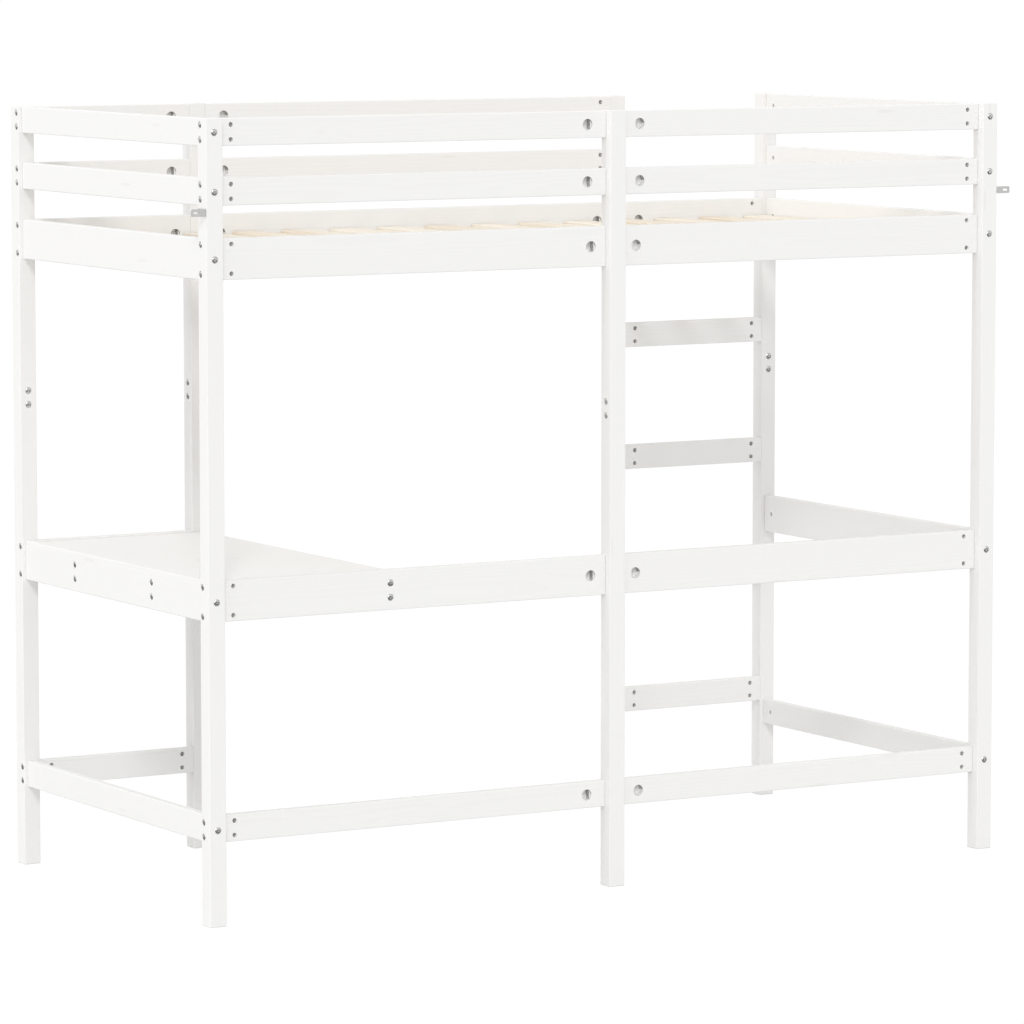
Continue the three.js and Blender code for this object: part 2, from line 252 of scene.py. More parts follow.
# %% Natural pine
def natural_pine():
    finish = Finish("natural pine", Specular_IOR_Level=0.3)
    rings, knots, fibres = pine_figure(finish)
    early = (0.88, 0.84, 0.765, 1)
    late = (0.74, 0.63, 0.49, 1)
    knot_brown = (0.33, 0.18, 0.09, 1)
    grain = finish.node("Attribute", {"attribute_name": "grain"}, out="Vector")
    heartwood = finish.step(finish.noise(finish.stretch(grain, (0.9, 9, 9)), 1, 1), 0.4, 0.75)
    tone = finish.blend(rings * 0.5 + fibres * 0.2 + heartwood * 0.5, early, late)
    finish.feed("Base Color", finish.blend(knots * 0.85, tone, knot_brown))
    finish.feed("Roughness", 0.55 + fibres * 0.2 - knots * 0.15)
    finish.relief(rings * 0.4 + fibres * 0.8, 0.0002, 0.8)
    return finish.material


NATURAL = natural_pine()
print(NATURAL.name, "has", len(NATURAL.node_tree.nodes), "nodes")

# %% [markdown]
# ## Zinc plating
#
# Furniture bolts are barrel-plated in zinc: a dull grey metal with cloudy patches and fine tumbling marks.
# Metal gets its colour from what it mirrors, so the noise goes mostly into the roughness. The half-moon
# nuts have a pale, chalky plating that scatters light, and the bent sheet of the wall angles a greyer one. A
# dark, dull copy serves the barrel nuts and rods, and is painted shade on the flats of the half-moon nuts,
# so the recipe takes a grey, a roughness and how metallic it is.


# %% Zinc-plated steel
def zinc_plated_steel(name, dark, light, roughness, metallic=1.0):
    finish = Finish(name, Metallic=metallic)
    place = finish.node("TexCoord", {}, out="Object")
    clouds = finish.noise(place, 260, 3)
    marks = finish.noise(place, 2600, 2)
    tone = finish.blend(clouds, (dark, dark, 0.99 * dark, 1), (light, light, 0.985 * light, 1))
    finish.feed("Base Color", tone)
    finish.feed("Roughness", roughness + clouds * 0.12 + marks * 0.06)
    finish.relief(marks + clouds * 0.5, 0.00003, 0.5)
    return finish.material


ZINC = zinc_plated_steel("zinc plated steel", 0.76, 0.88, 0.14)
BRIGHT_ZINC = zinc_plated_steel("pale zinc plated steel", 0.76, 0.86, 0.45, metallic=0.15)
ANGLE_ZINC = zinc_plated_steel("zinc plated sheet steel", 0.54, 0.62, 0.40, metallic=0.25)
# Dark and dull: the steel of the barrel nuts and rods, and painted shade on the half-moon flats.
DULL_ZINC_AND_PAINTED_SHADE = zinc_plated_steel("dull zinc plated steel and painted shade", 0.46, 0.56, 0.35, metallic=0.7)
print(ZINC.name, "has", len(ZINC.node_tree.nodes), "nodes")

# %% [markdown]
# ## Webbing
#
# Two tapes hold the slats at their pitch. Tape is woven, so its pattern is two sets of ribs that take turns
# on top: one wave along the tape, one across it, and their product decides which thread is up.


# %% Woven tape
THREAD = 0.0011


def woven_tape():
    finish = Finish("webbing", Specular_IOR_Level=0.2)
    place = finish.node("TexCoord", {}, out="Object")
    ribs = math.pi / THREAD
    along, across = (finish.maths("SINE", part * ribs) for part in finish.split(place, "X", "Y"))
    over = finish.step(along * across, -0.5, 0.5)
    fuzz = finish.noise(place, 1800, 2)
    tone = finish.blend(over * 0.7 + fuzz * 0.3, (0.66, 0.63, 0.57, 1), (0.87, 0.85, 0.80, 1))
    finish.feed("Base Color", tone)
    finish.feed("Roughness", 0.75 + fuzz * 0.2)
    finish.relief(over + fuzz * 0.3, 0.0003, 0.7)
    return finish.material


TAPE = woven_tape()
print(TAPE.name, "has", len(TAPE.node_tree.nodes), "nodes")

# %% [markdown]
# ## From bmesh to a finished piece
#
# Every piece is modelled with bmesh operators in its final place and then becomes an object at the origin,
# unturned and unscaled. Boards need holes, which a Boolean modifier cuts best. The modifier is applied at
# once, sharp edges are marked by angle, and weighted normals keep the broad faces flat while the narrow
# rounded edges stay smooth.


# %% Objects, cuts and normals
SHARP = math.radians(38)


def bake_modifiers(piece):
    """Replaces a piece's mesh by what its modifiers make of it."""
    depsgraph = bpy.context.evaluated_depsgraph_get()
    piece_now = piece.evaluated_get(depsgraph)
    result = bpy.data.meshes.new_from_object(piece_now, preserve_all_data_layers=True, depsgraph=depsgraph)
    old = piece.data
    piece.modifiers.clear()
    piece.data = result
    bpy.data.meshes.remove(old)


def as_object(name, bm):
    mesh = bpy.data.meshes.new(name)
    bm.to_mesh(mesh)
    bm.free()
    piece = bpy.data.objects.new(name, mesh)
    scene.collection.objects.link(piece)
    return piece


def cut(piece, cutter_bm):
    """Subtracts a bmesh from a piece."""
    cutter = as_object("cutter", cutter_bm)
    boolean = piece.modifiers.new("cut", "BOOLEAN")
    boolean.operation = "DIFFERENCE"
    boolean.solver = "EXACT"
    boolean.use_self = True
    boolean.object = cutter
    bake_modifiers(piece)
    bpy.data.objects.remove(cutter)


def finish_piece(piece, material):
    """Shades a piece, gives it its material, and lets it ride on the bed."""
    mesh = piece.data
    mesh.shade_smooth()
    mesh.set_sharp_from_angle(angle=SHARP)
    weighted = piece.modifiers.new("normals", "WEIGHTED_NORMAL")
    weighted.keep_sharp = True
    bake_modifiers(piece)
    piece.data.name = piece.name
    piece.data.materials.clear()
    piece.data.materials.append(material)
    piece.data.polygons.foreach_set("material_index", [0] * len(piece.data.polygons))
    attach(piece, "root")


def carry_grain(piece, along, seed):
    """Writes how far each point lies along, across and through the trunk it was sawn from."""
    chance = random.Random(seed)
    order = [along, (along + 1) % 3, (along + 2) % 3]
    pith = [chance.uniform(0, 40), chance.choice((-1, 1)) * chance.uniform(0.03, 0.09),
            chance.uniform(-0.05, 0.05)]
    corners = [Vector(corner) for corner in piece.bound_box]
    middle = sum(corners, Vector()) / 8
    values = []
    for vertex in piece.data.vertices:
        values += [vertex.co[axis] - middle[axis] + pith[i] for i, axis in enumerate(order)]
    grain = piece.data.attributes.new("grain", "FLOAT_VECTOR", "POINT")
    grain.data.foreach_set("vector", values)


print("edges over", round(math.degrees(SHARP)), "degrees stay sharp")

# %% [markdown]
# ## Turned shapes
#
# Drills, nuts, screws and rods are all round, so each is a profile of radius and height that is spun about
# an axis. The spin starts and ends in the same place, so it merges its last step with its first. Points on
# the axis come out as many copies, which are merged, and the normals are worked out after that.


# %% Turned shapes and how they are placed
ROUND_STEPS = 28


def turned(profile, steps=ROUND_STEPS):
    """Spins a profile about Z into a closed mesh."""
    bm = bmesh.new()
    points = [bm.verts.new((radius, 0, height)) for radius, height in profile]
    line = [bm.edges.new(pair) for pair in zip(points, points[1:])]
    bmesh.ops.spin(bm, geom=points + line, axis=(0, 0, 1), cent=(0, 0, 0), dvec=(0, 0, 0),
                   angle=math.tau, steps=steps, use_merge=True, use_duplicate=False)
    bmesh.ops.remove_doubles(bm, verts=bm.verts, dist=1e-6)
    bmesh.ops.recalc_face_normals(bm, faces=bm.faces)
    return as_mesh("turned", bm)


def as_mesh(name, bm):
    mesh = bpy.data.meshes.new(name)
    bm.to_mesh(mesh)
    bm.free()
    return mesh


def stand(at, up, side=None):
    """The matrix that puts a shape at a point, its Z along up and its X along side."""
    up = Vector(up).normalized()
    side = Vector(side) if side else up.orthogonal()
    side = (side - up * side.dot(up)).normalized()
    turn = Matrix((side, up.cross(side), up)).transposed().to_4x4()
    return Matrix.Translation(at) @ turn


def gather(placed):
    """Joins copies of meshes, each with its matrix, in one bmesh."""
    bm = bmesh.new()
    for mesh, matrix in placed:
        first = len(bm.verts)
        bm.from_mesh(mesh)
        bm.verts.ensure_lookup_table()
        bmesh.ops.transform(bm, matrix=matrix, verts=bm.verts[first:])
    return bm


print("a turned shape has", ROUND_STEPS, "steps")

# %% [markdown]
# ## Drills
#
# The maker uses four drills. A 10 mm one with a pointed end makes room for a barrel nut, a 25 mm cup drill
# makes a flat pocket for a half-moon nut, a 7 mm one runs through for bolts and rods, and a 15 mm one sinks
# the bolt heads. Lacquer rounds the rim of a hole, so each drill flares a little at the surface.


# %% Drills
BOARD = 0.020
POST = 0.040
RIM = 0.0005
CLEAR = 0.001
BOLT_HOLE = 0.007
BARREL_HOLE = 0.010
POCKET = 0.025
DRILL_DEPTH = 0.015
DRILL_POINT = 0.0015
HEAD_HOLE = 0.0153
HEAD_DEPTH = 0.0028
HEAD_RIM = 0.0002


def drill(diameter, depth, rim=RIM, point=0.0):
    """A drill that goes down from z = 0, with a flared rim and a pointed or flat end."""
    r = diameter / 2
    return turned([(0, CLEAR), (r + rim + CLEAR, CLEAR), (r + 0.3 * rim, -0.6 * rim), (r, -1.6 * rim),
                   (r, -depth), (0, -depth - point)])


BARREL_DRILL = drill(BARREL_HOLE, DRILL_DEPTH - DRILL_POINT, point=DRILL_POINT)
POCKET_DRILL = drill(POCKET, DRILL_DEPTH)
HEAD_DRILL = drill(HEAD_HOLE, HEAD_DEPTH, HEAD_RIM)
print("drills of 7, 10, 15 and 25 mm")


def through_drill(length):
    """A bolt hole of a given length, which starts just outside the surface."""
    return turned([(0, CLEAR), (BOLT_HOLE / 2, CLEAR), (BOLT_HOLE / 2, -length), (0, -length)], 20)


# %% [markdown]
# ## Fasteners
#
# A connector bolt has a flat round head with a hexagon socket. The socket starts as a small circle of six
# sides inside a round one: a bridge joins the two loops, and the six-sided one is pushed down. The rest of
# the head is the outer loop, extruded along a short profile. All heads sit in the wood, flush with its face.


# %% Connector bolt
HEX_KEY = 0.0028
SOCKET_DEPTH = 0.0022
FLAT_TOP = 0.0042
BOLT_PROFILE = [(0.0054, -0.00025), (0.0064, -0.0008), (0.0071, -0.0016), (0.0074, -0.0026),
                (0.0031, -0.0027)]


def grow_ring(bm, ring, radius, height, from_radius):
    """Extrudes a ring of edges to another radius and height, and returns the new ring."""
    grown = bmesh.ops.extrude_edge_only(bm, edges=ring)["geom"]
    points = [part for part in grown if isinstance(part, bmesh.types.BMVert)]
    bmesh.ops.scale(bm, vec=(radius / from_radius, radius / from_radius, 1), verts=points)
    bmesh.ops.translate(bm, vec=(0, 0, height), verts=points)
    return [part for part in grown if isinstance(part, bmesh.types.BMEdge)]


def bolt(shank):
    """A bolt whose head has its top at z = 0."""
    bm = bmesh.new()
    outer = bmesh.ops.create_circle(bm, cap_ends=False, radius=FLAT_TOP, segments=24)["verts"]
    key = bmesh.ops.create_circle(bm, cap_ends=False, radius=HEX_KEY, segments=6)["verts"]
    rim = [edge for edge in bm.edges if edge.verts[0] in outer]
    hexagon = [edge for edge in bm.edges if edge.verts[0] in key]
    bmesh.ops.bridge_loops(bm, edges=rim + hexagon)
    floor = grow_ring(bm, hexagon, HEX_KEY, -SOCKET_DEPTH, HEX_KEY)
    bmesh.ops.contextual_create(bm, geom=floor)
    radius, height = FLAT_TOP, 0
    for next_radius, next_height in BOLT_PROFILE + [(0.0030, -shank), (0.0024, -shank - 0.0006)]:
        rim = grow_ring(bm, rim, next_radius, next_height - height, radius)
        radius, height = next_radius, next_height
    bmesh.ops.contextual_create(bm, geom=rim)
    bmesh.ops.recalc_face_normals(bm, faces=bm.faces)
    return as_mesh("bolt", bm)


BOLTS = {use: bolt(length) for use, length in (("post", 0.0695), ("board", 0.0495), ("lap", 0.0290))}
print("bolts for", list(BOLTS), "with", len(BOLTS["post"].polygons), "faces each")

# %% [markdown]
# The barrel nut that catches a bolt is a short steel cylinder with a slot, so that a screwdriver can turn it
# until its thread faces the bolt. It rests a little below the face of the board.


# %% Barrel nut
BARREL_DOWN = 0.0050
BARREL_LENGTH = 0.0083
BARREL_RADIUS = 0.0048


def slotted(mesh, width, depth, length=0.03):
    """Saws a slot across the top of a turned shape."""
    piece = bpy.data.objects.new("slotted", mesh)
    scene.collection.objects.link(piece)
    saw = bmesh.new()
    bmesh.ops.create_cube(saw, size=1)
    bmesh.ops.scale(saw, vec=(length, width, 2 * depth), verts=saw.verts)
    cut(piece, saw)
    made = piece.data
    bpy.data.objects.remove(piece)
    return made


BARREL_NUT = slotted(turned([
    (0, 0), (BARREL_RADIUS - 0.0006, 0), (BARREL_RADIUS, -0.0006), (BARREL_RADIUS, 0.0006 - BARREL_LENGTH),
    (BARREL_RADIUS - 0.0006, -BARREL_LENGTH), (0, -BARREL_LENGTH)], 24), 0.0015, 0.0016)
print("barrel nut", len(BARREL_NUT.polygons), "faces")

# %% [markdown]
# Where two boards meet on both sides of a post, a threaded rod runs through all three. In each pocket it
# screws into a half-moon nut, whose round back pulls on the round wall. The nut is a disc cut by a plane,
# which is what the real one is, and the rod ends just past its flat.


# %% Half-moon nut and rod
MOON_RADIUS = 0.0122
MOON_CHORD = 0.0070
MOON_BELOW = 0.0046
MOON_ABOVE = 0.0072
ROD_RADIUS = 0.0030
ROD_SHOWS = 0.0015
ROD_EASE = 0.0006
THREAD_PITCH = 0.0010
THREAD_DEPTH = 0.0004


def half_moon():
    """A half-moon nut: Z out of the pocket, X towards the post, its middle on the rod."""
    bm = bmesh.new()
    bmesh.ops.create_circle(bm, cap_ends=True, radius=MOON_RADIUS, segments=40)
    bmesh.ops.bisect_plane(bm, geom=bm.verts[:] + bm.edges[:] + bm.faces[:], plane_co=(MOON_CHORD, 0, 0),
                           plane_no=(1, 0, 0), clear_inner=True)
    bmesh.ops.translate(bm, vec=(0, 0, -MOON_BELOW), verts=bm.verts)
    raised = bmesh.ops.extrude_face_region(bm, geom=bm.faces[:])["geom"]
    top = [part for part in raised if isinstance(part, bmesh.types.BMVert)]
    bmesh.ops.translate(bm, vec=(0, 0, MOON_BELOW + MOON_ABOVE), verts=top)
    bmesh.ops.recalc_face_normals(bm, faces=bm.faces)
    bmesh.ops.bevel(bm, geom=bm.edges[:], offset=0.0003, offset_type="OFFSET", segments=1, profile=0.5,
                    affect="EDGES", material=-1)
    return as_mesh("half moon", bm)


def rod(length):
    """A rod about Z, centred on the origin, threaded where it shows at both ends."""
    threads = [(ROD_RADIUS - THREAD_DEPTH * (turn % 2), length / 2 - ROD_EASE - turn * THREAD_PITCH / 2)
               for turn in range(26)]
    half = [(0, length / 2), (ROD_RADIUS - ROD_EASE, length / 2)] + threads
    return turned(half + [(radius, -height) for radius, height in reversed(half)], 16)


HALF_MOON = half_moon()
print("half moon", len(HALF_MOON.polygons), "faces")

# %% [markdown]
# Small screws hold the cleats, and two bigger ones the wall angles. They are countersunk, with a cross
# recess: two crossed bars are subtracted from a turned head.


# %% Countersunk screw
def screw(head_radius):
    """A countersunk screw whose head has its top at z = 0."""
    r = head_radius
    recess = (0.24 * r, 0.35 * r, 1.1 * r)
    mesh = turned([(0, 0.0001), (0.7 * r, 0), (r, -0.0003), (0.5 * r, -0.6 * r),
                   (0.42 * r, -2.2 * r), (0, -2.4 * r)], 24)
    mesh = slotted(mesh, *recess)
    mesh.transform(Matrix.Rotation(math.pi / 2, 4, "Z"))
    return slotted(mesh, *recess)


SCREW = screw(0.0040)
print("screw", len(SCREW.polygons), "faces")

# %% [markdown]
# ## Where the joints are
#
# Each board end has one of two joints: two bolts into barrel nuts where it has a post to itself, or one rod
# where another board faces it across the post. The list below is the bed's assembly plan. From it, one
# function works out three things at once: what is drilled in the board, what is drilled in the post, and
# which fasteners go in. A plan that is written once can't disagree with itself.


# %% Assembly plan
LEVELS = ["guard_top", "guard_second", "side", "middle", "bottom"]
BOLT_SPACING = {60: 0.032, 90: 0.064}
POCKET_FROM_END = {60: 0.048, 90: 0.039}
BARREL_FROM_END = 0.030

board_ends = {f"{level}_front_left": ("bolts", "rod") for level in LEVELS}
board_ends.update({f"{level}_front_right": ("rod", "bolts") for level in LEVELS})
board_ends.update({f"{level}_back_left": ("bolts", "rod") for level in LEVELS[:3]})
board_ends.update({f"{level}_back_left": ("bolts", "bolts") for level in LEVELS[3:]})
board_ends.update({f"{level}_back_centre": ("rod", "bolts") for level in LEVELS[:2]})
board_ends.update({"side_back_centre": ("rod", "rod"), "side_back_right": ("rod", "bolts")})
board_ends.update({f"ladder_rung_{step}": ("bolts", "bolts") for step in (1, 2, 3, 4)})

POSTS = {}
for row, columns in (("front", ("left", "middle", "right")), ("back", ("left", "desk", "ladder", "right"))):
    for column in columns:
        low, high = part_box(f"post_{row}_{column}_lower")
        POSTS[f"{row}_{column}"] = ((low + high) / 2).xy

drills = {}  # for each piece of wood: the meshes and matrices of its drillings
fittings = {}  # for each post: the meshes and matrices of its fasteners
half_moons = []  # the half-moon nuts of the whole bed
nuts = []  # its barrel nuts and rods


def bore(piece, mesh, matrix):
    drills.setdefault(piece, []).append((mesh, matrix))


def fit(post, mesh, matrix):
    fittings.setdefault(post, []).append((mesh, matrix))


print(len(board_ends), "long boards and rungs,", len(POSTS), "posts")

# %% [markdown]
# A drilling in a post can fall in its lower length, its upper length, or both where they overlap in the lap.
# So a post is drilled by asking each length whether the hole is within its height.


# %% Drilling posts and bolting through them
LAP_CENTRE = 1.086
LAP_BOLT_SPACING = 0.032
LAP_BOLT_DEPTH = 0.030
HEAD_DOWN = 0.0002


def bore_post(post, mesh, at, outward):
    for length in ("lower", "upper"):
        low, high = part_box(f"post_{post}_{length}")
        if low.z - 0.01 < at.z < high.z + 0.01:
            bore(f"post_{post}_{length}", mesh, stand(at, outward))


def bolt_into(post, at, outward, use="post"):
    """A bolt that enters a post at a point on its face, with its head sunk in the wood."""
    bore_post(post, BOLT_DRILLS[use], at, outward)
    bore_post(post, HEAD_DRILL, at, outward)
    fit(post, BOLTS[use], stand(at - outward * HEAD_DOWN, outward))


BOLT_DRILLS = {"post": through_drill(POST + CLEAR), "lap": through_drill(LAP_BOLT_DEPTH)}
print("a hole through a post is", POST * 1000, "mm long")


# %% Joints of the boards that run along the bed
def post_beside(row, x):
    return min((name for name in POSTS if name.startswith(row)), key=lambda name: abs(POSTS[name].x - x))


def end_joint(board, kind, inward):
    """Drills one end of a board that runs along X, and its post. `inward` is +1 at the low end."""
    low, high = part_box(board)
    centre = (low + high) / 2
    height = round((high.z - low.z) * 1000)
    end = low.x if inward > 0 else high.x
    into = Vector((inward, 0, 0))
    outward = Vector((0, -1, 0))
    row = "front" if centre.y < 0 else "back"
    post = post_beside(row, end)
    if kind == "bolts":
        face = POSTS[post].x - inward * POST / 2
        for side in (-1, 1):
            z = centre.z + side * BOLT_SPACING[height] / 2
            barrel = Vector((end + inward * BARREL_FROM_END, low.y, z))
            bore(board, BARREL_DRILL, stand(barrel, outward))
            bore(board, BOARD_END_DRILL, stand((end, centre.y, z), -into))
            nuts.append((BARREL_NUT, stand(barrel - outward * BARREL_DOWN, outward, (0.3, 0, side))))
            bolt_into(post, Vector((face, centre.y, z)), -into)
        return
    pocket = Vector((end + inward * POCKET_FROM_END[height], low.y, centre.z))
    bore(board, POCKET_DRILL, stand(pocket, outward))
    bore(board, BOARD_ROD_DRILL, stand((end, centre.y, centre.z), -into))
    middle = Vector((pocket.x, centre.y, centre.z))
    half_moons.append((HALF_MOON, stand(middle, outward, -into)))
    if inward > 0:
        face = Vector((POSTS[post].x - POST / 2, centre.y, centre.z))
        bore_post(post, BOLT_DRILLS["post"], face, Vector((-1, 0, 0)))
        reach = POST + 2 * (POCKET_FROM_END[height] - MOON_CHORD + ROD_SHOWS)
        nuts.append((rod(reach), stand((POSTS[post].x, centre.y, centre.z), (1, 0, 0))))


BOARD_END_DRILL = through_drill(BARREL_FROM_END)
BOARD_ROD_DRILL = through_drill(min(POCKET_FROM_END.values()))
for board, (low_joint, high_joint) in board_ends.items():
    end_joint(board, low_joint, 1)
    end_joint(board, high_joint, -1)
print(sum(len(placed) for placed in fittings.values()), "fasteners so far")

# %% [markdown]
# The end boards lie between the corner posts. One bolt at each end runs in from the outside of the post, and
# the barrel nut drops in from the inner face, where nobody sees it.


# %% Joints of the end boards, the desk and the laps
END_GAP = 0.0003
for column, inside in (("left", 1), ("right", -1)):
    for level in LEVELS:
        board = f"{level}_end_{column}"
        low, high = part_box(board)
        centre = (low + high) / 2
        inner = Vector((inside, 0, 0))
        for row, out in (("front", -1), ("back", 1)):
            end = high.y if out > 0 else low.y
            barrel = Vector((centre.x + inside * BOARD / 2, end - out * BARREL_FROM_END, centre.z))
            outward = Vector((0, out, 0))
            bore(board, BARREL_DRILL, stand(barrel, inner))
            bore(board, BOARD_END_DRILL, stand((centre.x, end, centre.z), outward))
            post = f"{row}_{column}"
            nuts.append((BARREL_NUT, stand(barrel - inner * BARREL_DOWN, inner, (0, 0.4, 1))))
            bolt_into(post, Vector((POSTS[post].x, end + out * (END_GAP + POST), centre.z)), outward)

for post, place in POSTS.items():
    row, column = post.split("_")
    corner = column in ("left", "right")
    head = Vector((0, 1 if row == "front" else -1, 0)) if corner else Vector((-1, 0, 0))
    for side in (-1, 1):
        at = Vector((place.x, place.y, LAP_CENTRE + side * LAP_BOLT_SPACING / 2))
        bolt_into(post, at + head * POST / 2, head, "lap")
print(sum(len(placed) for placed in fittings.values()), "fasteners in all posts")

# %% [markdown]
# The desk hangs on a cross rail and two battens. The rail is bolted through the front middle board and
# through the desk post, the battens through the end board and the rail, two bolts each.


# %% Joints under the desk
desk_drill = through_drill(BOARD + CLEAR)
rail_low, rail_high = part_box("desk_cross_rail")
rail = (rail_low + rail_high) / 2
for side in (-1, 1):
    z = rail.z + side * BOLT_SPACING[60] / 2
    for out, end in ((-1, rail_low.y), (1, rail_high.y)):
        outward = Vector((0, out, 0))
        barrel = Vector((rail_high.x, end - out * BARREL_FROM_END, z))
        bore("desk_cross_rail", BARREL_DRILL, stand(barrel, (1, 0, 0)))
        bore("desk_cross_rail", BOARD_END_DRILL, stand((rail.x, end, z), outward))
        nuts.append((BARREL_NUT, stand(barrel - Vector((BARREL_DOWN, 0, 0)), (1, 0, 0), (0, 1, 0.5))))
        if out > 0:
            bolt_into("back_desk", Vector((rail.x, end + END_GAP + POST, z)), outward)
        else:
            face = Vector((rail.x, end - END_GAP - BOARD, z))
            bore("middle_front_left", desk_drill, stand(face, outward))
            bore("middle_front_left", HEAD_DRILL, stand(face, outward))
            fit("desk", BOLTS["board"], stand(face - outward * HEAD_DOWN, outward))
    for place in ("front", "back"):
        batten = f"desk_batten_{place}"
        low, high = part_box(batten)
        y = (low.y + high.y) / 2
        for board, end, away in (("middle_end_left", low.x, -1), ("desk_cross_rail", high.x, 1)):
            outward = Vector((away, 0, 0))
            barrel = Vector((end - away * BARREL_FROM_END, low.y, z))
            face = Vector((end + away * (END_GAP + BOARD), y, z))
            bore(batten, BARREL_DRILL, stand(barrel, (0, -1, 0)))
            bore(batten, BOARD_END_DRILL, stand((end, y, z), outward))
            bore(board, desk_drill, stand(face, outward))
            bore(board, HEAD_DRILL, stand(face, outward))
            nuts.append((BARREL_NUT, stand(barrel + Vector((0, BARREL_DOWN, 0)), (0, -1, 0), (1, 0, 0.7))))
            fit("desk", BOLTS["board"], stand(face - outward * HEAD_DOWN, outward))
print(len(fittings["desk"]), "fasteners under the desk")

# %% [markdown]
# ## Wood
#
# A bar starts as a cube that is scaled to its box. Its four long edges are rounded by a bevel, and its ends
# are eased by a tiny inset that also lifts the end face. That is how a planed board looks: soft along its
# length, crisp where it was sawn.


# %% Bars with rounded edges
BOARD_ROUNDING = 0.0022
POST_ROUNDING = 0.0014
END_EASE = 0.0006
POCKETS_FROM_END = 0.02
SHADE_FROM_MIDDLE = 0.002


def wood_bar(low, high, rounding, eases=(END_EASE, END_EASE)):
    """A bar between two corners. `eases` are the chamfers at its low and its high end."""
    size = high - low
    along = max(range(3), key=lambda axis: size[axis])
    bm = bmesh.new()
    bmesh.ops.create_cube(bm, size=1)
    bmesh.ops.scale(bm, vec=size, verts=bm.verts)
    bmesh.ops.translate(bm, vec=(low + high) / 2, verts=bm.verts)
    for vertex in bm.verts:
        at_low = vertex.co[along] < (low + high)[along] / 2
        vertex.co[along] += eases[0] if at_low else -eases[1]
    long_edges = [e for e in bm.edges if abs((e.verts[0].co - e.verts[1].co)[along]) > size[along] / 2]
    bmesh.ops.bevel(bm, geom=long_edges, offset=rounding, offset_type="OFFSET", segments=4, profile=0.5,
                    affect="EDGES", material=-1)
    bm.normal_update()
    for end, ease in ((-1, eases[0]), (1, eases[1])):
        sawn = [face for face in bm.faces if face.normal[along] * end > 0.9]
        bmesh.ops.inset_individual(bm, faces=sawn, thickness=ease, depth=ease)
    return bm, along


def paint_pocket_light_and_shade(piece, low, high):
    """Gives a board's pockets a brighter lacquer as painted light, and the upper half of their walls a dark
    grey one as painted shade.
    """
    piece.data.materials.append(POCKET_PAINTED_LIGHT)
    piece.data.materials.append(POCKET_PAINTED_SHADE)
    middle = (low + high) / 2
    for face in piece.data.polygons:
        inside = min(face.center.y - low.y, high.y - face.center.y) > 0.001
        if inside and abs(face.center.z - middle.z) < POCKET / 2:
            deep = abs(face.center.x - middle.x) < (high.x - low.x) / 2 - POCKETS_FROM_END
            # Upper wall faces get the painted shade; the floor and lower wall get the painted light.
            shaded = abs(face.normal.y) < 0.5 and face.center.z > middle.z + SHADE_FROM_MIDDLE
            face.material_index = (2 if shaded else 1) if deep else 0


def make_wood(node, material, rounding=BOARD_ROUNDING, eases=(END_EASE, END_EASE), lap=None):
    """Replaces a plain piece of wood by a finished one, with its drillings."""
    low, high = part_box(node)
    bm, along = wood_bar(low, high, rounding, eases)
    piece = as_object(node + "_finished", bm)
    if lap:
        cut(piece, lap)
    if node in drills:
        cut(piece, gather(drills[node]))
    finish_piece(piece, material)
    # The pockets of the long boards get painted light and painted shade.
    if node in board_ends:
        paint_pocket_light_and_shade(piece, low, high)
    carry_grain(piece, along, node)
    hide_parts(node)
    return piece


print("boards are rounded by", BOARD_ROUNDING * 1000, "mm, posts by", POST_ROUNDING * 1000, "mm")

# %% Boards, rungs and desk
wood_faces = 0
white_bars = list(board_ends) + [f"{level}_end_{column}" for level in LEVELS for column in ("left", "right")]
white_bars += ["desk_cross_rail", "desk_batten_front", "desk_batten_back", "desk_top"]
for node in white_bars:
    wood_faces += len(make_wood(node, LACQUERED).data.polygons)
print(len(white_bars), "white boards with", wood_faces, "faces")

# %% [markdown]
# A post is two lengths. Where they meet, half of each is cut away, so that they lie side by side over 96 mm
# and two bolts clamp them. The cut is a block beyond a plane through the middle of the post: across the bed
# at the corners, and along the bed for the posts that stand between boards.


# %% Posts with half laps
LAP_LENGTH = 0.096
LAP_GAP = 0.0003
SHOULDER_EASE = 0.00005
POST_EASE = 0.0012


def lap_block(post, away, z_range):
    """The block that is cut from one length: the half on the side that `away` points to."""
    place = POSTS[post]
    bm = bmesh.new()
    bmesh.ops.create_cube(bm, size=1)
    bmesh.ops.scale(bm, vec=(2 * POST, 2 * POST, z_range[1] - z_range[0]), verts=bm.verts)
    middle = Vector((place.x, place.y, sum(z_range) / 2))
    bmesh.ops.translate(bm, vec=middle + away * (POST - SHOULDER_EASE), verts=bm.verts)
    return bm


for post in POSTS:
    row, column = post.split("_")
    sign = 1 if row == "front" else -1
    away = Vector((0, sign, 0)) if column in ("left", "right") else Vector((sign, 0, 0))
    start, end = LAP_CENTRE - LAP_LENGTH / 2, LAP_CENTRE + LAP_LENGTH / 2
    lengths = (("lower", away, (start + LAP_GAP, end + 0.01), (POST_EASE, SHOULDER_EASE)),
               ("upper", -away, (start - 0.01, end), (SHOULDER_EASE, POST_EASE)))
    for length, direction, z_range, eases in lengths:
        block = lap_block(post, direction, z_range)
        make_wood(f"post_{post}_{length}", LACQUERED, POST_ROUNDING, eases, block)
print(2 * len(POSTS), "post lengths")

# %% [markdown]
# ## Cleats and slats
#
# A square cleat is screwed inside each side board, and the slats lie on the cleats. The slats are one roll in
# the frame, because their tapes tie them together. Here each slat is a piece of its own, with rounder edges
# than the boards, and with its own figure, because no two slats come from the same trunk.

